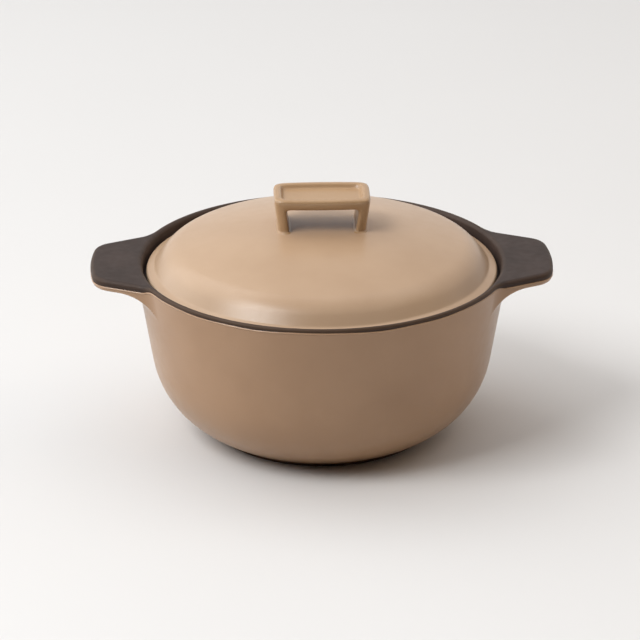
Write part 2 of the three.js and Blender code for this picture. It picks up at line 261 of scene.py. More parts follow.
def rounded_path(corners, arc_step=radians(6)):
    """Points along corners of (across, up, rounding). An arc is drawn in where its two sides are too short."""
    points = np.array([across + 1j * up for across, up, _ in corners])
    roundings = np.array([rounding for _, _, rounding in corners])
    sides = np.diff(points)
    ways = sides / abs(sides)
    turns = np.r_[0, np.angle(ways[1:] / ways[:-1]), 0]
    cuts = roundings * np.tan(abs(turns) / 2)
    room = np.minimum(1, abs(sides) / np.maximum(cuts[:-1] + cuts[1:], abs(sides)))
    path = []
    for i, point in enumerate(points):
        if cuts[i] == 0:
            path.append([point])
            continue
        cut = cuts[i] * min(room[i - 1], room[i])
        radius = cut / tan(turns[i] / 2)
        angles = np.linspace(0, turns[i], max(2, ceil(abs(turns[i]) / arc_step)) + 1)
        path.append(point - cut * ways[i - 1] + ways[i - 1] * radius * (np.exp(1j * angles) - 1) / 1j)
    path = np.concatenate(path)
    return path[np.r_[True, abs(np.diff(path)) > same_point]]


def spread_rows(path, count, turn_weight=1.0, stride=3 * mm, turn_stride=radians(11)):
    """Picks points along a path, evenly by length and closer together where it turns."""
    sides = np.diff(path)
    turns = abs(np.angle(sides[1:] / sides[:-1]))
    share = (np.r_[0, turns] + np.r_[turns, 0]) / 2
    measure = np.r_[0, np.cumsum(abs(sides) / stride + turn_weight * share / turn_stride)]
    return np.interp(np.linspace(0, measure[-1], count), measure, path)


print("points on a rounded square corner:", len(rounded_path([(0, 0, 0), (1, 0, 0.5), (1, 1, 0)])))

# %% [markdown]
# ## Bowl and lugs as one skin
#
# On the real pot the lugs are stuck to the wall while the clay is soft, and the joint is wiped away. Separate
# meshes would show a seam there, and a boolean would leave a hard line. So the whole pot is one net of rows
# and columns: each column is a section through the wall, and where it meets a lug the section reaches out
# along the lug, with a soft cove under it. First come the sizes. The outer ones are read from the solid model,
# and the others are as in it or trimmed.

# %% Sizes of the bowl and lugs
rim_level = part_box("bowl_lining")[1].z
rim_radius = 120 * mm
wall_lean = radians(9.3)
belly_round, belly_slope = 63 * mm, radians(22)
foot_radius, foot_height, foot_width, foot_round = 71.5 * mm, 2.4 * mm, 9 * mm, 0.8 * mm
base_recess = 2.5 * mm
floor_level = 10.5 * mm
inside_round, inside_lean = 56 * mm, radians(4.2)
gallery_level = rim_level - 9.5 * mm
gallery_radius, ledge_radius, gallery_round = 114.2 * mm, 106.5 * mm, 1.5 * mm
lip_radius = 115.8 * mm
rim_outer_round, rim_inner_round = 1.6 * mm, 3 * mm

lug_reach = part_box("right_lug_glaze")[1].x - rim_radius
lug_width, lug_root, lug_corner, lug_sweep = 71 * mm, 107 * mm, 16 * mm, 20 * mm
lug_thickness, lug_edge, lug_top_round = 7.8 * mm, 2.2 * mm, 2.6 * mm
cove_round, cove_taper = 17 * mm, 0.2


def wall_radius(level):
    """Radius of the leaning outer wall at a level."""
    return rim_radius - (rim_level - level) * tan(wall_lean)


print("rim level", round(rim_level / mm, 1), "mm, lugs reach", round(lug_reach / mm, 1), "mm past the rim")

# %% [markdown]
# ### The rim seen from above
#
# The rim's outline is a chain of arcs: lug tip, lug corner, the sweep that runs into the wall, and the round
# of the bowl. One quarter is enough, because the pot is mirrored twice. Each point also keeps the direction
# that the outline faces, so that an edge can be rounded square to it and not only towards the axis.

# %% Outline of rim and lugs
def arc_points(centre, radius, start, end, stride):
    """Points and facings along an arc, without its last point. A negative radius makes a hollow arc."""
    count = ceil(abs(radius * (end - start)) / stride)
    facing = np.exp(1j * np.linspace(start, end, count, endpoint=False))
    return centre + radius * facing, facing


def whole_round(quarter):
    """Mirrors a quarter, from +X to +Y, to the other three."""
    return np.concatenate([quarter, -quarter[-2::-1].conj(), -quarter[1:], quarter[-2:0:-1].conj()])


def rim_outline(lug_stride=1.4 * mm, rim_stride=2.8 * mm):
    """Points and facings round the whole rim, from the tip of the lug on +X."""
    tip = rim_radius + lug_reach
    corner_side = lug_width / 2 - lug_corner
    corner = sqrt((tip - lug_corner) ** 2 - corner_side**2) + 1j * corner_side
    root = asin(lug_root / 2 / rim_radius)
    sweep = (rim_radius + lug_sweep) * np.exp(1j * root)
    between = sweep - corner
    side = np.angle(between) - acos((lug_corner + lug_sweep) / abs(between))
    side_start = corner + lug_corner * np.exp(1j * side)
    side_end = sweep - lug_sweep * np.exp(1j * side)
    side_count = ceil(abs(side_end - side_start) / lug_stride)
    straight = np.linspace(side_start, side_end, side_count, endpoint=False)
    parts = [
        arc_points(0, tip, 0, np.angle(corner), lug_stride),
        arc_points(corner, lug_corner, np.angle(corner), side, lug_stride),
        (straight, np.full(side_count, np.exp(1j * side))),
        arc_points(sweep, -lug_sweep, side, root, lug_stride),
        arc_points(0, rim_radius, root, pi / 2, rim_stride),
        ([1j * rim_radius], [1j]),
    ]
    return [whole_round(np.concatenate(quarter)) for quarter in zip(*parts)]


outline, facings = rim_outline()
print("columns round the pot:", len(outline))

# %% [markdown]
# ### Sections through the wall
#
# Each column's section starts on the wall, follows a round cove out under the lug, runs up the lug's edge and
# ends inside the rim. The cove is one path, and a short lug column takes just its first part. That is how the
# lug can fade into the wall at its sides without a line.

# %% Section of one column
blend_level = rim_level - 26 * mm
under_lug = rim_level - lug_thickness
lip_middle = (lip_radius + gallery_radius) / 2, (rim_level + gallery_level) / 2
lug_blend = 4 * mm
cove_points = 12
cove = rounded_path([
    (wall_radius(blend_level), blend_level, 0),
    (wall_radius(under_lug), under_lug, cove_round),
    (rim_radius + lug_reach, under_lug, 0),
], arc_step=radians(1))
cove_out = cove.real - wall_radius(cove.imag)


def smooth_share(value):
    """0 below 0, 1 above 1, and a soft step between."""
    value = np.clip(value, 0, 1)
    return value * value * (3 - 2 * value)


def column_section(reach):
    """The wall from the blend level up, out along a lug of this reach, over the rim and into the gallery."""
    corners = [(wall_radius(blend_level), blend_level, 0)]
    if reach > 0:
        outs = (reach - min(lug_edge, reach / 2)) * np.linspace(0, 1, cove_points) ** 2
        for out, rounding in [*zip(outs, np.zeros(cove_points)), (reach, lug_edge)]:
            level = np.interp(out, cove_out[1:], cove.imag[1:])
            corners.append((wall_radius(level) + out, level, rounding))
    edge_round = rim_outer_round + (lug_top_round - rim_outer_round) * smooth_share(reach / lug_blend)
    corners.append((rim_radius + reach, rim_level, edge_round))
    corners.append((lip_radius, rim_level, rim_inner_round))
    corners.append((*lip_middle, 0))
    return rounded_path(corners)


print("points in a section of wall and of lug:", len(column_section(0)), len(column_section(lug_reach)))

# %% [markdown]
# ### Glaze line and roll
#
# The dark glaze begins where a section passes the glaze line. A dipped line is never quite level, so it wanders
# by a few tenths of a millimetre, and on the lugs it runs further over the edge. Just under the line the tan
# glaze has gathered in a low roll, which catches the light as a thin bright line round the pot. A bump in the
# material could only hint at it, so the roll is real: the last rows below the line swell outwards.

# %% Cut and swell a section
rim_wrap, lug_wrap = 2.45 * mm, 4.2 * mm
line_wander, lug_calm = 0.55 * mm, 0.75
line_waves = (0.5, 7, 0.6), (0.3, 12, 2.1), (0.25, 19, 4.0)
roll_height, roll_depth, roll_skew = 1.5 * mm, 0.42 * mm, 1.6
roll_rows = 13


def glaze_line(angle, lug_share):
    """Level of the dark glaze's edge at a place round the pot."""
    wander = sum(height * sin(count * angle + phase) for height, count, phase in line_waves)
    wrap = rim_wrap + (lug_wrap - rim_wrap) * lug_share
    return rim_level - wrap + (1 - lug_calm * lug_share) * line_wander * wander


def split_at_level(path, level):
    """Cuts a path where it first climbs past a level, and returns both parts with the cut point in each."""
    climb = path[: np.argmax(path.imag) + 1]
    after = np.argmax(climb.imag > level)
    before, beyond = path[after - 1], path[after]
    cut = before + (beyond - before) * (level - before.imag) / (beyond.imag - before.imag)
    return np.r_[path[:after], cut], np.r_[cut, path[after:]]


def rolled(path):
    """Even points along a short path, swollen to its outer side: the roll where the tan glaze ends."""
    along = spread_rows(path, roll_rows, turn_weight=0)
    way = np.gradient(along)
    swell = roll_depth * np.sin(pi * np.linspace(0, 1, roll_rows) ** roll_skew) ** 2
    return along + swell * way / abs(way) / 1j


drops = [(rim_level - glaze_line(angle, 0)) / mm for angle in np.angle(outline)]
print("glaze line on the wall:", round(min(drops), 2), "to", round(max(drops), 2), "mm below the rim")

# %% [markdown]
# ### From sections to the net
#
# A section is flat, and its column is not: over a lug it runs from the wall towards its own point of the
# outline, and its last millimetres run square to the edge. Under a lug the columns stand a little closer
# together, which makes the cove taper into the wall. Sampled with the same number of rows everywhere, the
# sections line up into a net. The rows of the foot and belly below, and of the inside, are simply turned.

# %% Place sections and turned rows
def place_section(section, point, facing, root_angle):
    """Points in space of a section whose lug, if any, ends at a point of the outline."""
    radius, level = section.real, section.imag
    out = radius - wall_radius(level)
    reach = abs(point) - rim_radius
    edge = min(lug_edge, reach / 2)
    anchor = rim_radius * np.exp(1j * root_angle)
    inner = anchor + (point - edge * facing - anchor) * np.clip(out / max(reach - edge, 1e-9), 0, 1)
    lug = inner + np.maximum(out - (reach - edge), 0) * facing
    lug = lug * (1 + (wall_radius(level) - rim_radius) / abs(lug))
    flat = np.where(out > same_point, lug, radius * np.exp(1j * root_angle))
    return np.stack([flat.real, flat.imag, level], axis=-1)


def turned_rows(path, angles):
    """Rows of points from turning a path round the axis, through the columns' angles."""
    flat = path.real[:, None] * np.exp(1j * angles)
    return np.stack([flat.real, flat.imag, np.broadcast_to(path.imag[:, None], flat.shape)], axis=-1)


tip_column = place_section(column_section(lug_reach), outline[0], facings[0], 0)
print("tip of the right lug at x =", round(tip_column[:, 0].max() / mm, 1), "mm")

# %% Net of the pot
below_rows, outer_rows, rim_rows, inside_rows = 66, 38, 26, 48
wall_at_foot = wall_radius(foot_height)
belly_out = (wall_at_foot - foot_radius) / (1 - tan(belly_slope) * tan(wall_lean))
below = rounded_path([
    (0, base_recess, 0),
    (foot_radius - foot_width, base_recess, foot_round),
    (foot_radius - foot_width, 0, foot_round),
    (foot_radius, 0, foot_round),
    (foot_radius, foot_height, foot_round),
    (foot_radius + belly_out, foot_height + belly_out * tan(belly_slope), belly_round),
    (wall_radius(blend_level), blend_level, 0),
])
inside = rounded_path([
    (*lip_middle, 0),
    (gallery_radius, gallery_level, gallery_round),
    (ledge_radius, gallery_level, gallery_round),
    (ledge_radius - (gallery_level - floor_level) * tan(inside_lean), floor_level, inside_round),
    (0, floor_level, 0),
])


def pot_net():
    """The pot's skin as rows of points: the tan rows from the foot to the glaze line, then the dark rows."""
    angles = np.angle(outline)
    reaches = np.maximum(abs(outline) - rim_radius, 0)
    reaches[reaches < same_point] = 0
    lug_share = smooth_share(reaches / lug_blend)
    nearest_lug = np.where(abs(angles) > pi / 2, np.sign(angles) * pi, 0)
    wall_angles = angles - cove_taper * lug_share * (angles - nearest_lug)
    tan_columns, dark_columns = [], []
    for i, (point, facing) in enumerate(zip(outline, facings)):
        line = glaze_line(angles[i], lug_share[i])
        lower, upper = split_at_level(column_section(reaches[i]), line)
        lower, roll = split_at_level(lower, line - roll_height)
        lower = spread_rows(lower, outer_rows, turn_weight=lug_share[i], stride=1.2 * mm)
        lower = np.r_[lower[:-1], rolled(roll)]
        upper = spread_rows(upper, rim_rows, stride=1.5 * mm)
        tan_columns.append(place_section(lower, point, facing, wall_angles[i]))
        dark_columns.append(place_section(upper, point, facing, angles[i]))
    foot_and_belly = turned_rows(spread_rows(below, below_rows), wall_angles)
    bowl_inside = turned_rows(spread_rows(inside, inside_rows), angles)
    tan_rows = np.concatenate([foot_and_belly[:-1], np.stack(tan_columns, axis=1)])
    dark_rows = np.concatenate([np.stack(dark_columns, axis=1)[:-1], bowl_inside])
    return tan_rows, dark_rows


tan_rows, dark_rows = pot_net()
print("tan rows", len(tan_rows), "dark rows", len(dark_rows), "columns", tan_rows.shape[1])

# %% [markdown]
# ### Where the glaze runs thin and takes a painted highlight
#
# While it melts, glaze draws back from tight edges, and the glazes also paint a highlight there. The tightness
# can be measured: next to a vertex, the surface falls away from its tangent plane by half the curvature times
# the distance squared. Averaged over the neighbours, it hardly depends on how fine the mesh is. A shader's own
# edge finder does, so it isn't used.

# %% Measure the edges
open_round, tight_round = 16 * mm, 3.2 * mm


def mark_glaze_break_and_highlight(mesh):
    """Stores how tight each vertex's outer edge is, from 0 to 1, for the glazes to read."""
    points = np.empty(len(mesh.vertices) * 3)
    facing = np.empty(len(mesh.vertices) * 3)
    pairs = np.empty(len(mesh.edges) * 2, int)
    mesh.vertices.foreach_get("co", points)
    mesh.vertex_normals.foreach_get("vector", facing)
    mesh.edges.foreach_get("vertices", pairs)
    points, facing, pairs = points.reshape(-1, 3), facing.reshape(-1, 3), pairs.reshape(-1, 2)
    total, found = np.zeros(len(points)), np.zeros(len(points))
    for here, there in (pairs.T, pairs[:, ::-1].T):
        step = points[there] - points[here]
        fall = -2 * (step * facing[here]).sum(1) / np.maximum((step**2).sum(1), 1e-12)
        np.add.at(total, here, fall)
        np.add.at(found, here, 1)
    curve = total / np.maximum(found, 1)
    # This edge measure is where the glazes paint their edge highlight, together with the glaze break.
    thin = smooth_share((curve - 1 / open_round) / (1 / tight_round - 1 / open_round))
    mesh.attributes.new("glaze_break_and_highlight", "FLOAT", "POINT").data.foreach_set("value", thin)


# On these roundings the glazes also paint an edge highlight.
print("glaze thins on roundings below", open_round / mm, "mm and is thinnest below", tight_round / mm, "mm")

# %% [markdown]
# ### Closing the skins
#
# The export wants closed bodies, so each skin gets a back. The back is the dark skin moved into the wall by a
# hair: the tan body is closed just under the dark coat, and the coat is a thin shell. Each net starts and ends
# on the axis, where a whole row is one point, so only a fan of triangles is needed there.

# %% Finished pieces
def finished_piece(name, mesh, finish):
    """Puts a closed mesh into the scene, faces outwards, smooth and glazed, and prints its measures."""
    shell = bmesh.new()
    shell.from_mesh(mesh)
    if shell.calc_volume(signed=True) < 0:
        bmesh.ops.reverse_faces(shell, faces=shell.faces)
    open_edges = sum(not edge.is_manifold for edge in shell.edges)
    volume = shell.calc_volume(signed=True)
    shell.to_mesh(mesh)
    shell.free()
    mesh.shade_smooth()
    mesh.materials.clear()
    mesh.materials.append(finish)
    mark_glaze_break_and_highlight(mesh)
    piece = bpy.data.objects.new(name, mesh)
    bpy.context.scene.collection.objects.link(piece)
    print(name, "faces", len(mesh.polygons), "open edges", open_edges, "volume cm3", round(volume * 1e6, 1))
    return piece


# %% Closed bodies from nets
def moved_inward(rows, depth):
    """Rows moved square to their surface, into the wall."""
    along = np.gradient(rows, axis=0)
    around = np.roll(rows, -1, axis=1) - np.roll(rows, 1, axis=1)
    square = np.cross(along, around)
    square /= np.maximum(np.linalg.norm(square, axis=-1, keepdims=True), 1e-12)
    square[-1] = square[-2].mean(axis=0)
    return rows + depth * square


def closed_net(name, rows, finish):
    """A finished piece from rows of points that start and end on the axis."""
    count = rows.shape[1]
    points = np.concatenate([rows[0][:1], rows[1:-1].reshape(-1, 3), rows[-1][:1]])
    first = 1 + count * np.arange(len(rows) - 2)[:, None]
    last = int(first[-1, 0])
    here, onward = np.arange(count), np.roll(np.arange(count), -1)
    quads = np.stack([first[:-1] + here, first[:-1] + onward, first[1:] + onward, first[1:] + here], axis=-1)
    start = [(0, 1 + b, 1 + a) for a, b in zip(here, onward)]
    end = [(len(points) - 1, last + a, last + b) for a, b in zip(here, onward)]
    mesh = bpy.data.meshes.new(name)
    mesh.from_pydata(points.tolist(), [], quads.reshape(-1, 4).tolist() + start + end)
    return finished_piece(name, mesh, finish)


# %% Make the pot
coat_thickness, clay_depth = 0.35 * mm, 0.6 * mm
clay_back = moved_inward(dark_rows, clay_depth)
coat_back = moved_inward(dark_rows, coat_thickness)
pot_body = closed_net("pot_body", np.concatenate([tan_rows, clay_back[:-1:2], clay_back[-1:]]), pot_glaze_painted_shade)
dark_coat = closed_net("dark_coat", np.concatenate([coat_back[::-1], dark_rows]), dark_glaze)

# %% [markdown]
# ## Lid, turned by Geometry Nodes
#
# The lid's dome is turned on a wheel. In Blender that is a profile carried round a circle, and a node tree
# does it once for every turned piece: the profile becomes a curve, Curve to Mesh sweeps it round a circle,
# and Merge by Distance closes the seam and the pole. The Screw modifier would do as well, but the tree keeps
# its steps and finish as named inputs. The result is made a plain mesh, because the export wants one.

# %% Helpers for node trees
def add_input(tree, name, kind):
    """A named input of a tree."""
    tree.interface.new_socket(name, in_out="INPUT", socket_type=kind)


def link_chain(tree, *nodes):
    """Links the first output of each node to the first input of the next."""
    for before, after in zip(nodes, nodes[1:]):
        tree.links.new(before.outputs[0], after.inputs[0])


def finish_tree(tree, last, inputs):
    """Ends a tree: real faces, a finish, and the group's output."""
    realize = tree.nodes.new("GeometryNodeRealizeInstances")
    glazed = tree.nodes.new("GeometryNodeSetMaterial")
    output = tree.nodes.new("NodeGroupOutput")
    link_chain(tree, last, realize, glazed, output)
    tree.links.new(inputs.outputs["Finish"], glazed.inputs["Material"])


def run_tree(name, tree, start_mesh, values):
    """The mesh that a tree makes from a start mesh, with the tree's inputs set by their identifiers."""
    carrier = bpy.data.objects.new(name + "_carrier", start_mesh)
    bpy.context.scene.collection.objects.link(carrier)
    nodes = carrier.modifiers.new("nodes", "NODES")
    nodes.node_group = tree
    for socket in tree.interface.items_tree:
        if socket.name in values:
            nodes[socket.identifier] = values[socket.name]
    mesh = bpy.data.meshes.new_from_object(carrier.evaluated_get(bpy.context.evaluated_depsgraph_get()))
    mesh.name = name
    carrier.modifiers.remove(nodes)
    bpy.data.objects.remove(carrier)
    return mesh


# %% Wheel tree
wheel_radius = 50 * mm


def wheel_tree():
    """Sweeps a profile round the axis and closes what meets."""
    tree = bpy.data.node_groups.new("wheel", "GeometryNodeTree")
    add_input(tree, "Profile", "NodeSocketGeometry")
    add_input(tree, "Steps", "NodeSocketInt")
    add_input(tree, "Wheel radius", "NodeSocketFloat")
    add_input(tree, "Finish", "NodeSocketMaterial")
    tree.interface.new_socket("Turned", in_out="OUTPUT", socket_type="NodeSocketGeometry")
    inputs = tree.nodes.new("NodeGroupInput")
    profile = tree.nodes.new("GeometryNodeMeshToCurve")
    wheel = tree.nodes.new("GeometryNodeCurvePrimitiveCircle")
    sweep = tree.nodes.new("GeometryNodeCurveToMesh")
    merge = tree.nodes.new("GeometryNodeMergeByDistance")
    merge.inputs["Distance"].default_value = 0.01 * mm
    link_chain(tree, inputs, profile)
    tree.links.new(inputs.outputs["Steps"], wheel.inputs["Resolution"])
    tree.links.new(inputs.outputs["Wheel radius"], wheel.inputs["Radius"])
    tree.links.new(wheel.outputs["Curve"], sweep.inputs["Curve"])
    tree.links.new(profile.outputs["Curve"], sweep.inputs["Profile Curve"])
    link_chain(tree, sweep, merge)
    finish_tree(tree, merge, inputs)
    return tree


def turned_piece(name, path, finish, steps=288):
    """A closed piece turned from a path that starts and ends on the axis."""
    flat = bpy.data.meshes.new(name + "_profile")
    corners = [(point.real - wheel_radius, -point.imag, 0) for point in path]
    flat.from_pydata(corners, [(i, i + 1) for i in range(len(path) - 1)], [])
    values = {"Steps": steps, "Wheel radius": wheel_radius, "Finish": finish}
    return finished_piece(name, run_tree(name, wheel, flat, values), finish)


wheel = wheel_tree()
print("nodes in the wheel tree:", len(wheel.nodes))

# %% [markdown]
# ### Dome and its dark underside
#
# The dome is a shallow crown that rolls over a tight shoulder into a narrow flange, and the flange sits down in
# the rim's gallery. Crown and shoulder are two arcs that touch, so their meeting shows no line in the gloss.
# The underside keeps the wall's thickness and has the dark glaze, as the bowl's inside does.

# %% Arcs of the dome
lid_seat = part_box("lid_dome")[0].z
lid_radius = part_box("lid_dome")[1].x
flange_thickness, flange_rise, flange_round = 4 * mm, 1.85 * mm, 1.8 * mm
dome_radius = lid_radius - 5.3 * mm
crown_fall, shoulder_drop = 19.2 * mm, 8.65 * mm
shoulder_round, shoulder_lean, shoulder_foot = 25.2 * mm, radians(52), 3.5 * mm
flange_level = lid_seat + flange_thickness
dome_foot = flange_level + flange_rise
crown_level = dome_foot + shoulder_drop + crown_fall
crown_round = (dome_radius**2 + crown_fall**2) / (2 * crown_fall)
crown_centre = 1j * (crown_level - crown_round)
crown_rows, shoulder_rows = 40, 24


def dome_arcs(depth):
    """The crown and the shoulder at a depth under the dome's face, from the axis outwards."""
    up_slope = np.exp(1j * (pi - shoulder_lean))
    base = dome_radius + 1j * dome_foot + shoulder_round * up_slope * 1j
    offset = base - crown_centre
    along = (offset * up_slope.conjugate()).real
    spare = (crown_round - shoulder_round) ** 2 - abs(offset) ** 2
    centre = base + up_slope * (sqrt(along**2 + spare) - along)
    meet = np.angle((centre - crown_centre) / 1j)
    crown_angles = np.linspace(0, meet, crown_rows)
    shoulder_angles = np.linspace(meet, -shoulder_lean, shoulder_rows)
    crown = crown_centre + 1j * (crown_round - depth) * np.exp(1j * crown_angles)
    shoulder = centre + 1j * (shoulder_round - depth) * np.exp(1j * shoulder_angles)
    return np.r_[crown, shoulder[1:]]


def underside(depth):
    """The hollow side of the dome at a depth, carried down its slope to the seat."""
    arcs = dome_arcs(depth)
    drop = arcs[-1].imag - lid_seat
    return np.r_[arcs, arcs[-1] + drop / tan(shoulder_lean) - 1j * drop]


dome_rise = crown_level - lid_seat
print("crown rounding", round(crown_round / mm), "mm, dome rises", round(dome_rise / mm, 1), "mm")

# %% Make the lid
lid_wall, lining_thickness, lining_gap = 6 * mm, 0.5 * mm, 0.05 * mm
top = dome_arcs(0)
flange = rounded_path([
    (top[-1].real, top[-1].imag, 0),
    (dome_radius, dome_foot, shoulder_foot),
    (lid_radius, flange_level, flange_round),
    (lid_radius, lid_seat, flange_round),
    (ledge_radius, lid_seat, 0),
])
clay_hollow = underside(lid_wall - lining_thickness - lining_gap)
lid_dome = turned_piece("lid_dome_clay", np.r_[top[:-1], flange, clay_hollow[::-1]], lid_glaze_painted_light)
lining_path = np.r_[underside(lid_wall), underside(lid_wall - lining_thickness)[::-1]]
lid_lining = turned_piece("lid_underside_glaze", lining_path, dark_glaze)

# %% [markdown]
# ## Bridge handle as a field
#
# The handle is pressed in a mould: a plate with a sunk panel, on two legs that lean together and swell into
# the lid. Box modelling gives its planes, but every edge and every inner corner is soft, and a bevel breaks
# where several meet. A distance field has no such trouble: each plane is a formula that is negative inside,
# a smooth maximum joins two planes with a round edge, and Volume to Mesh lays a skin where the field is zero.
# A small class lets such formulas be written as plain arithmetic.

# %% Arithmetic with nodes
class Field:
    """A number that a node tree works out at every point of space. Plain arithmetic adds Math nodes to it."""

    def __init__(self, socket):
        self.socket = socket

    def math(self, operation, *others):
        """The field after one Math node, which works on this field and on other fields or numbers."""
        tree = self.socket.id_data
        node = tree.nodes.new("ShaderNodeMath")
        node.operation = operation
        for slot, value in zip(node.inputs, (self, *others)):
            if isinstance(value, Field):
                tree.links.new(value.socket, slot)
            else:
                slot.default_value = value
        return Field(node.outputs[0])

    def __add__(self, other):
        return self.math("ADD", other)

    def __sub__(self, other):
        return self.math("SUBTRACT", other)

    def __mul__(self, other):
        return self.math("MULTIPLY", other)

    def __truediv__(self, other):
        return self.math("DIVIDE", other)

    def __neg__(self):
        return self.math("MULTIPLY", -1)

    def both(self, other, soft):
        """Inside both shapes, with the edge between them rounded."""
        return self.math("SMOOTH_MAX", other, soft)

    def either(self, other, soft):
        """Inside either shape, with the corner between them filled."""
        return self.math("SMOOTH_MIN", other, soft)


def space_fields(tree):
    """The place of a point as three fields, one for each axis."""
    place = tree.nodes.new("GeometryNodeInputPosition")
    split = tree.nodes.new("ShaderNodeSeparateXYZ")
    tree.links.new(place.outputs[0], split.inputs[0])
    return [Field(output) for output in split.outputs]


# %% [markdown]
# ### The handle's planes
#
# Both ends and both long sides are alike, so the formulas use the distance from the middle and describe a
# quarter. The block is cut by the finger gap below and by the panel above. At the foot a bead of slip runs
# round each leg: it is the smooth union of handle and dome, kept to a narrow strip round the leg.

# %% Field of the handle
handle_sizes = {
    "Width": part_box("lid_handle")[1].x * 2,
    "Depth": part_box("lid_handle")[1].y * 2,
    "Top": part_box("lid_handle")[1].z,
    "Plate": 7.0 * mm,
    "Leg": 7 * mm,
    "Bow": 1.7 * mm,
    "Border": 4.9 * mm,
    "Panel depth": 2.8 * mm,
    "Dome centre": crown_centre.imag,
    "Dome radius": crown_round,
    "Foot sink": 0.6 * mm,
    "Foot bead": 1.3 * mm,
    "Voxel": 0.45 * mm,
}
leg_lean, leg_draft = radians(7.5), radians(6)
panel_slope = 0.6
corner_soft, edge_soft, leg_soft, finger_soft = 10 * mm, 4.4 * mm, 4.2 * mm, 5 * mm
panel_corner_soft, panel_soft, bead_soft = 6.5 * mm, 1.6 * mm, 2.4 * mm


def handle_field(tree, size):
    """The handle's field: less than zero inside, in metres."""
    x, y, z = space_fields(tree)
    height = z - size["Dome centre"]
    dome = ((x * x + y * y) + height * height).math("SQRT") - size["Dome radius"]
    x, y, drop = x.math("ABSOLUTE"), y.math("ABSOLUTE"), size["Top"] - z
    half_width, half_depth = size["Width"] * 0.5, size["Depth"] * 0.5
    across = x / half_width
    bow = across * across * size["Bow"]
    end = half_width - drop * tan(leg_lean)
    front = half_depth - drop * tan(leg_draft) - bow
    sides = ((x - end) * cos(leg_lean)).both((y - front) * cos(leg_draft), corner_soft)
    block = sides.both(-drop, edge_soft)
    finger_gap = ((x - end + size["Leg"]) * cos(leg_lean)).both(size["Plate"] - drop, finger_soft)
    bridge = block.both(-finger_gap, leg_soft)
    border = (x - half_width).both(y - half_depth + bow, panel_corner_soft) + size["Border"]
    panel_side = (border + drop * panel_slope) * cos(atan(panel_slope))
    panel = panel_side.both(drop - size["Panel depth"], panel_soft)
    bridge = bridge.both(-panel, panel_soft)
    footed = bridge.either(dome, bead_soft).math("MAXIMUM", bridge - size["Foot bead"])
    return footed.math("MAXIMUM", -(dome + size["Foot sink"]))


print("handle in mm:", {name: round(size / mm, 1) for name, size in handle_sizes.items()})

# %% [markdown]
# ### The handle's tree
#
# Volume Cube samples the field in a box of small cells, and Volume to Mesh draws the skin. A volume is dense
# inside, so the field changes sign on the way in. The cells' size is a named input, so a finer skin is one
# number away. The box is a little larger than the handle, because a skin that reached it would be cut off.

# %% Handle tree
def handle_tree():
    """Samples the field between two corners and lays a skin where it is zero."""
    tree = bpy.data.node_groups.new("bridge handle", "GeometryNodeTree")
    for name in handle_sizes:
        add_input(tree, name, "NodeSocketFloat")
    add_input(tree, "Low corner", "NodeSocketVector")
    add_input(tree, "High corner", "NodeSocketVector")
    add_input(tree, "Finish", "NodeSocketMaterial")
    tree.interface.new_socket("Handle", in_out="OUTPUT", socket_type="NodeSocketGeometry")
    inputs = tree.nodes.new("NodeGroupInput")
    size = {name: Field(inputs.outputs[name]) for name in handle_sizes}
    cube = tree.nodes.new("GeometryNodeVolumeCube")
    cube.inputs["Background"].default_value = -1
    density = handle_field(tree, size) * (-1 / mm)
    tree.links.new(density.socket, cube.inputs["Density"])
    span = tree.nodes.new("ShaderNodeVectorMath")
    span.operation = "SUBTRACT"
    split = tree.nodes.new("ShaderNodeSeparateXYZ")
    tree.links.new(inputs.outputs["High corner"], span.inputs[0])
    tree.links.new(inputs.outputs["Low corner"], span.inputs[1])
    tree.links.new(span.outputs[0], split.inputs[0])
    tree.links.new(inputs.outputs["Low corner"], cube.inputs["Min"])
    tree.links.new(inputs.outputs["High corner"], cube.inputs["Max"])
    for axis, length in zip("XYZ", split.outputs):
        steps = Field(length) / size["Voxel"]
        tree.links.new(steps.socket, cube.inputs[f"Resolution {axis}"])
    skin = tree.nodes.new("GeometryNodeVolumeToMesh")
    skin.inputs["Threshold"].default_value = 0
    link_chain(tree, cube, skin)
    finish_tree(tree, skin, inputs)
    return tree


bridge_tree = handle_tree()
print("nodes in the handle's tree:", len(bridge_tree.nodes))

# %% Make the handle
handle_low, handle_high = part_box("lid_handle")
room = Vector((4, 4, 2)) * mm
handle_values = {**handle_sizes, "Low corner": handle_low - room, "High corner": handle_high + room}
handle_values["Finish"] = handle_glaze_painted_shade
handle_mesh = run_tree("bridge_handle", bridge_tree, bpy.data.meshes.new("empty"), handle_values)
lid_handle = finished_piece("bridge_handle", handle_mesh, handle_glaze_painted_shade)

# %% [markdown]
# ## Floor
#
# A product table is pale and plain. One large square does it, with a matt finish. A flat floor grows dark far
# from the lights, and from a low camera that shows as a dark horizon. A curved backdrop would hide it from one
# side only, so the floor glows instead, from a metre and a half outwards. Near the pot the shadow stays real.

# %% Floor
floor_reach, glow_start, glow_end, glow_strength = 60.0, 1.5, 5.0, 0.75
floor_dark, floor_light, floor_cloud = (0.675, 0.671, 0.667), (0.695, 0.692, 0.69), 300 * mm
floor_mesh = bpy.data.meshes.new("floor")
floor_corners = [(x * floor_reach, y * floor_reach, 0) for x, y in ((-1, -1), (1, -1), (1, 1), (-1, 1))]
floor_mesh.from_pydata(floor_corners, [], [(0, 1, 2, 3)])
floor = bpy.data.objects.new("floor", floor_mesh)
bpy.context.scene.collection.objects.link(floor)
floor_finish, floor_shader = new_finish("pale_table")
floor_tree = floor_finish.node_tree
pale = mix_colour(floor_tree, add_noise(floor_tree, floor_cloud), floor_dark, floor_light)
floor_tree.links.new(pale, floor_shader.inputs["Base Color"])
floor_shader.inputs["Roughness"].default_value = 0.8
distance = floor_tree.nodes.new("ShaderNodeVectorMath")
distance.operation = "LENGTH"
floor_tree.links.new(object_place(floor_tree), distance.inputs[0])
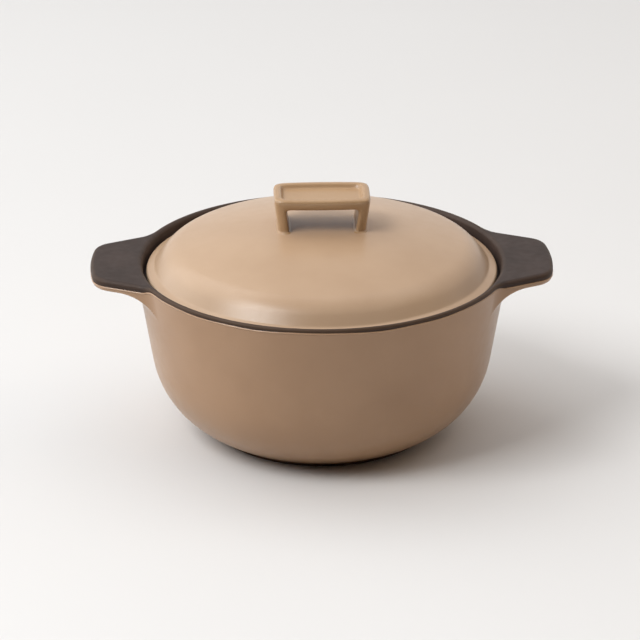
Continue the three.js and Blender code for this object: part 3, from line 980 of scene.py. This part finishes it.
glow = remap(floor_tree, distance.outputs["Value"], glow_start, glow_end, 0, glow_strength)
floor_shader.inputs["Emission Color"].default_value = (1, 1, 1, 1)
floor_tree.links.new(glow, floor_shader.inputs["Emission Strength"])
floor_mesh.materials.append(floor_finish)
print("floor of", 2 * floor_reach, "m, with a glow from", glow_start, "m outwards")

# %% [markdown]
# ## Light
#
# A soft key light at the upper left gives the lid's shoulder its gloss and the pot its light side. A wide one
# further left opens the side of the bowl, a very wide one overhead lights the lid evenly, and a weak warm one
# from the right lifts the shadows. The world is bright behind the pot and dark in front, so the far edges
# shine and the near wall keeps its depth. Area lights are used because their size sets how soft a shadow is.

# %% Light
def soft_light(name, place, target, width, power, colour):
    """A square area light that faces a point."""
    lamp = bpy.data.lights.new(name, "AREA")
    lamp.size = width
    lamp.energy = power
    lamp.color = colour
    light = bpy.data.objects.new(name, lamp)
    light.location = place
    light.visible_camera = False
    light.rotation_euler = (target - place).to_track_quat("-Z", "Y").to_euler()
    bpy.context.scene.collection.objects.link(light)


def from_pot(turn, rise, distance):
    """A place seen from the pot: an angle to the right of the front, an angle up, and a distance."""
    return Vector((sin(turn) * cos(rise), -cos(turn) * cos(rise), sin(rise))) * distance


pot_middle = Vector((0, 0, 80 * mm))
light_distance = 3.2
white, warm = (1, 1, 1), (1, 0.76, 0.55)
lights = {
    "key": {"turn": -60, "rise": 49, "width": 1.5, "power": 60, "colour": white},
    "left": {"turn": -108, "rise": 36, "width": 4.0, "power": 68, "colour": white},
    "overhead": {"turn": 0, "rise": 88, "width": 4.5, "power": 42, "colour": white},
    "right": {"turn": 85, "rise": 42, "width": 2.6, "power": 17, "colour": warm},
}
for name, light in lights.items():
    place = from_pot(radians(light["turn"]), radians(light["rise"]), light_distance)
    soft_light(name, place, pot_middle, light["width"], light["power"], light["colour"])
print("lights:", {name: light["power"] for name, light in lights.items()})

# %% Bright back
back_start, back_strength = 0.3, 0.75
world = bpy.data.worlds.new("studio")
world.use_nodes = True
sky = world.node_tree
way = sky.nodes.new("ShaderNodeTexCoord")
split = sky.nodes.new("ShaderNodeSeparateXYZ")
sky.links.new(way.outputs["Generated"], split.inputs[0])
brightness = remap(sky, split.outputs["Y"], 0, back_start, 0, back_strength)
sky.links.new(brightness, sky.nodes["Background"].inputs["Strength"])
sky.nodes["Background"].inputs["Color"].default_value = (1, 1, 1, 1)
scene = bpy.context.scene
scene.world = world
scene.view_settings.view_transform = "Standard"
print("the world grows from dark in front to a strength of", back_strength, "behind")

# %% [markdown]
# ## Camera
#
# The camera has the long lens of a product photograph, which keeps the near and the far side alike in scale,
# and looks down by a little over 22 degrees. It is placed by its aim, turn, rise and distance, because those
# are what a photographer changes, one at a time.

# %% Camera
camera_turn, camera_rise, camera_distance = radians(-2.0), radians(22.572), 2.16
aim_side, aim_level = -1.1 * mm, 71.1 * mm
aim = Vector((cos(camera_turn), sin(camera_turn), 0)) * aim_side + Vector((0, 0, aim_level))
lens = bpy.data.cameras.new("camera")
lens.lens = 187.8
lens.sensor_width = 36
camera = bpy.data.objects.new("camera", lens)
backward = from_pot(camera_turn, camera_rise, 1)
camera.location = aim + backward * camera_distance
camera.rotation_euler = (-backward).to_track_quat("-Z", "Y").to_euler()
scene.collection.objects.link(camera)
scene.camera = camera
print("camera at", [round(c, 3) for c in camera.location])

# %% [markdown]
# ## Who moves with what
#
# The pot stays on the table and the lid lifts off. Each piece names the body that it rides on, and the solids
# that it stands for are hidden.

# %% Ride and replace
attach(pot_body, "pot")
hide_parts("bowl", "right_lug", "left_lug")
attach(dark_coat, "pot")
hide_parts("bowl_lining", "right_lug_glaze", "left_lug_glaze")
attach(lid_dome, "lid")
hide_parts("lid_dome")
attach(lid_lining, "lid")
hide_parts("lid_lining")
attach(lid_handle, "lid")
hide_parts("lid_handle")
print("dressed pieces:", [piece.name for piece in (pot_body, dark_coat, lid_dome, lid_lining, lid_handle)])
